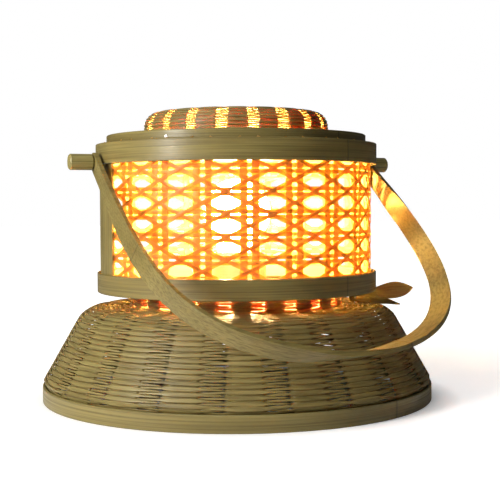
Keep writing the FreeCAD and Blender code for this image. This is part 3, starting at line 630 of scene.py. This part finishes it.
def add_uprights(parts, bottom, top):
    z = np.linspace(bottom, top, UPRIGHT_POINTS)
    row_phase = TURN * (z - FIRST_HOLE - ROW_PITCH / 2) / ROW_PITCH
    for column in range(COLUMNS):
        for side in (-1, 1):
            azimuth = FIRST_PAIR + column * COLUMN_STEP + side * PAIR_OFFSET_ANGLE
            azimuth += math.radians(rng.uniform(-UPRIGHT_WANDER_ANGLE, UPRIGHT_WANDER_ANGLE))
            azimuth = azimuth + UPRIGHT_WAVE * np.sin(z / UPRIGHT_WAVE_LENGTH + column)
            radius = CANE_RADIUS + side * CANE_LIFT * np.sin(row_phase)
            add_cane(parts, radius, z, azimuth, UPRIGHT_WIDTH * rng.uniform(0.92, 1.05), CANE_THICKNESS)


def add_levels(parts, bottom, top):
    turn = np.linspace(0, TURN, COLUMNS * LEVEL_POINTS_PER_COLUMN + 1)
    column_phase = COLUMNS * (turn - FIRST_PAIR)
    for row in range(ROWS):
        for side in (-1, 1):
            wander = LEVEL_WAVE * np.sin(turn * 3 + LANE_STEP * (len(parts) + 1))
            wander = wander + rng.uniform(-LEVEL_WANDER, LEVEL_WANDER)
            level = FIRST_HOLE + ROW_PITCH * (row - 0.5) + side * PAIR_OFFSET_HEIGHT + wander
            level = np.clip(level, bottom + LEVEL_END_GAP, top - LEVEL_END_GAP)
            radius = CANE_RADIUS - side * CANE_LIFT * np.sin(column_phase)
            add_cane(parts, radius, level, turn, LEVEL_WIDTH * rng.uniform(0.94, 1.06), CANE_THICKNESS)


def add_diagonals(parts, bottom, top):
    share = np.linspace(0, 1, DIAGONAL_POINTS)
    height = bottom + (top - bottom) * share
    for direction in (-1, 1):
        for column in range(COLUMNS):
            climb = (height - FIRST_HOLE) / ROW_PITCH * COLUMN_STEP
            azimuth = FIRST_PAIR + column * COLUMN_STEP + direction * climb
            azimuth = azimuth + math.radians(rng.uniform(-DIAGONAL_WANDER_ANGLE, DIAGONAL_WANDER_ANGLE))
            radius = CANE_RADIUS + DIAGONAL_OUT + direction * DIAGONAL_APART
            radius = radius + DIAGONAL_WAVE * np.sin(share * DIAGONAL_WAVES)
            width = DIAGONAL_WIDTH * rng.uniform(0.92, 1.06)
            add_cane(parts, radius, height, azimuth, width, DIAGONAL_THICKNESS)


def cane():
    """Hexagonal webbing: two uprights, two level strands and two diagonals round each hole."""
    low, high = mm("cane_webbing")
    bottom, top = low.z + CANE_END_GAP, high.z - CANE_END_GAP
    parts = []
    add_uprights(parts, bottom, top)
    add_levels(parts, bottom, top)
    add_diagonals(parts, bottom, top)
    return make_object("cane_strands", *join_lofts(parts))


cane_piece = cane()
cane_piece.data.materials.append(cane_mat)
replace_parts(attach(cane_piece, "lantern"), "cane_webbing")


# ---------------------------------------------------------------- leaves

LEAF_AZIMUTH = math.radians(70.0)
LEAF_SIDES = np.linspace(-1, 1, 9)
LEAF_POINTS = 48
LEAF_SHEET = 0.55
LEAF_TIP_HALF_WIDTH = 0.25
LEAF_RIB_RISE = 0.35
LEAF_RIB_WIDTH = 0.16
LEAF_RIPPLE = 0.12
LEAF_RIPPLES = 19.0
LEAF_DROOP_POWER = 2.2
LEAF_LANE = 5.92
# Half widths are given as (share of the length, half width).
LEAVES = [
    ("lower_leaf_blade", "leaf_lower", {
        "start": 76.0, "height": 64.4, "length": 35.0, "half_widths": [(0.0, 2.6), (0.42, 4.7), (0.8, 2.6)],
        "roll": 32.0, "rise": 0.0, "droop": 4.6, "crease": 0.5}),
    ("upper_leaf_blade", "leaf_upper", {
        "start": 77.0, "height": 65.7, "length": 43.0, "half_widths": [(0.0, 1.4), (0.32, 2.6), (0.66, 6.6)],
        "roll": 50.0, "rise": 8.0, "droop": 0.6, "crease": 0.9}),
]


def leaf_section(share, half_widths, crease):
    """Distance across, and lift, of a creased sheet with a midrib, at each place along the blade."""
    places, halves = zip(*half_widths, (1.0, LEAF_TIP_HALF_WIDTH))
    outline = np.polyval(np.polyfit(places, halves, len(places) - 1), share)
    half = np.maximum(outline, LEAF_TIP_HALF_WIDTH)[:, None]
    sides = np.concatenate([LEAF_SIDES, LEAF_SIDES[::-1]])[None, :]
    sheet = np.repeat([LEAF_SHEET, 0.0], len(LEAF_SIDES))
    rib = LEAF_RIB_RISE * bell(sides, 0.0, LEAF_RIB_WIDTH)
    ripple = LEAF_RIPPLE * np.sin(share * LEAF_RIPPLES)[:, None] * sides ** 2
    lift = sheet + rib - crease * (1 - sides ** 2) * (half / half.max()) + ripple
    return half * sides, lift


def leaf(name, start, height, length, half_widths, roll, rise, droop, crease):
    """A curved blade from its pinned inner end to its tip."""
    share = np.linspace(0, 1, LEAF_POINTS)
    across, lift = leaf_section(share, half_widths, crease)
    along = share[:, None] * length
    roll, rise = math.radians(roll), math.radians(rise)
    aside = across * math.cos(roll) - lift * math.sin(roll)
    up = across * math.sin(roll) + lift * math.cos(roll)
    reach = start + along * math.cos(rise) - up * math.sin(rise)
    up = height + along * math.sin(rise) + up * math.cos(rise) - droop * share[:, None] ** LEAF_DROOP_POWER
    x = reach * math.sin(LEAF_AZIMUTH) + aside * math.cos(LEAF_AZIMUTH)
    y = aside * math.sin(LEAF_AZIMUTH) - reach * math.cos(LEAF_AZIMUTH)
    rings = np.stack([x, y, up], -1) * MM
    return make_object(name, *loft(rings, share * length * MM, np.full(len(share), LEAF_LANE)))


for piece_name, node, shape in LEAVES:
    blade = leaf(piece_name, **shape)
    blade.data.materials.append(leaf_mat)
    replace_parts(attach(blade, "lantern"), node)

# ---------------------------------------------------------------- finishes on the CAD nodes

FINISHES = [
    (hoop_mat, ["foot_outer_hoop", "foot_inner_hoop", "lower_outer_hoop", "lower_inner_hoop",
                "top_outer_hoop", "top_inner_hoop", "lid_ledge_ring", "neck_hoop", "lid_outer_rim",
                "lid_inner_rim"]),
    (strut_mat, ["strut_left", "strut_right"]),
    (rod_mat, ["peg_left", "peg_right"]),
    (bail_mat, ["bail_strip"]),
    (board_mat, ["lamp_board"]),
    (steel_mat, ["leaf_pin", "foot_nails", "lower_nails", "top_nails", "board_screws", "holder_screws",
                 "lid_nail"]),
    (rubber_mat, ["cord_grommet"]),
    (holder_mat, ["holder_body"]),
    (brass_mat, ["holder_shell", "holder_contact", "bulb_contact"]),
    (cap_mat, ["bulb_cap"]),
    (vitrite_mat, ["bulb_insulator"]),
    (bulb_mat, ["bulb_glass", "bulb_stem"]),
    (filament_mat, ["bulb_filament"]),
]
for material, node_names in FINISHES:
    for node in node_names:
        mesh = nodes_by_name[node].data
        mesh.materials.clear()
        mesh.materials.append(material)

# ---------------------------------------------------------------- floor, light and camera


# The floor looks brighter to the camera, from just outside the lantern's foot outwards. Inside the foot it
# gets no lift, which paints shade on the floor under the lantern.
FLOOR_HALF_SIZE_M = 6.0
FLOOR_NEAR_M = (0.118, 0.15)
FLOOR_NEAR_LIFT = 0.72
FLOOR_FAR_M = (0.22, 0.5)
FLOOR_FAR_LIFT = 0.35
WORLD_LIGHT = 0.045


def stage_floor():
    half = FLOOR_HALF_SIZE_M
    corners = [(-half, -half, 0), (half, -half, 0), (half, half, 0), (-half, half, 0)]
    floor = make_object("studio_floor", corners, [(0, 1, 2, 3)], smooth=False)
    t = Tree("studio_floor")
    coords = t.add("ShaderNodeTexCoord").outputs["Object"]
    tone = t.mix(t.noise(coords, 3.0), (0.86, 0.86, 0.86, 1), (0.90, 0.90, 0.90, 1))
    part = t.add("ShaderNodeSeparateXYZ", {0: coords})
    out = axis_distance(t, part.outputs[0], part.outputs[1])
    # No lift inside the foot: painted shade on the floor under the lantern.
    near = t.span(out, *FLOOR_NEAR_M, 0.0, FLOOR_NEAR_LIFT)
    far = t.span(out, *FLOOR_FAR_M, 0.0, FLOOR_FAR_LIFT)
    seen = t.add("ShaderNodeLightPath").outputs["Is Camera Ray"]
    shader = t.add("ShaderNodeBsdfPrincipled", {
        "Base Color": tone, "Roughness": 0.9, "Emission Color": (1, 1, 1, 1),
        "Emission Strength": t.math("MULTIPLY", seen, t.math("ADD", near, far)),
        "Specular IOR Level": 0.1}).outputs[0]
    floor.data.materials.append(t.finish(shader))


def area_light(name, position, target, size, energy, colour=(1, 1, 1)):
    data = bpy.data.lights.new(name, "AREA")
    data.shape = "RECTANGLE"
    data.size, data.size_y = size
    data.energy = energy
    data.color = colour
    light = bpy.data.objects.new(name, data)
    light.location = position
    light.rotation_mode = "QUATERNION"
    light.rotation_quaternion = (Vector(position) - Vector(target)).to_track_quat("Z", "Y")
    bpy.context.scene.collection.objects.link(light)
    return light


# Angles of the camera and lights are in degrees, from the front towards the right.
CAMERA_AZIMUTH = -21.8
CAMERA_DISTANCE_M = 0.728
CAMERA_HEIGHT_M = 0.128
CAMERA_PITCH = -2.39
CAMERA_YAW = -0.70
CAMERA_ROLL = -0.3
SENSOR_WIDTH = 36.0
FOCAL_LENGTH = 77.76


def around(azimuth, distance, height):
    """A point at an azimuth from the camera's own direction."""
    a = math.radians(azimuth + CAMERA_AZIMUTH)
    return (distance * math.sin(a), -distance * math.cos(a), height)


def camera():
    data = bpy.data.cameras.new("camera")
    data.sensor_width = SENSOR_WIDTH
    data.lens = FOCAL_LENGTH
    data.clip_start, data.clip_end = 0.01, 50.0
    cam = bpy.data.objects.new("camera", data)
    bpy.context.scene.collection.objects.link(cam)
    cam.location = around(0, CAMERA_DISTANCE_M, CAMERA_HEIGHT_M)
    cam.rotation_mode = "XYZ"
    turn = Matrix.Rotation(math.radians(CAMERA_AZIMUTH + CAMERA_YAW), 4, "Z")
    turn = turn @ Matrix.Rotation(math.radians(90 + CAMERA_PITCH), 4, "X")
    turn = turn @ Matrix.Rotation(math.radians(CAMERA_ROLL), 4, "Z")
    cam.rotation_euler = turn.to_euler("XYZ")
    bpy.context.scene.camera = cam


def world():
    """A dim even light on the lantern, which the camera sees as white."""
    scene_world = bpy.data.worlds.new("studio")
    scene_world.use_nodes = True
    tree = scene_world.node_tree
    tree.nodes.clear()
    path = tree.nodes.new("ShaderNodeLightPath")
    strength = tree.nodes.new("ShaderNodeMapRange")
    strength.inputs["To Min"].default_value = WORLD_LIGHT
    strength.inputs["To Max"].default_value = 1.0
    back = tree.nodes.new("ShaderNodeBackground")
    back.inputs["Color"].default_value = (1, 1, 1, 1)
    out = tree.nodes.new("ShaderNodeOutputWorld")
    tree.links.new(path.outputs["Is Camera Ray"], strength.inputs["Value"])
    tree.links.new(strength.outputs[0], back.inputs["Strength"])
    tree.links.new(back.outputs[0], out.inputs["Surface"])
    bpy.context.scene.world = scene_world


stage_floor()
area_light("key", position=around(-52, 1.1, 0.50), target=(0, 0, 0.08), size=(0.22, 0.5), energy=14.5,
           colour=(1.0, 0.99, 0.97))
area_light("top", position=around(-40, 0.7, 1.3), target=(0, 0, 0.1), size=(0.9, 0.9), energy=4.0)
camera()
world()
view_settings = bpy.context.scene.view_settings
view_settings.view_transform = "Standard"
view_settings.look = "None"
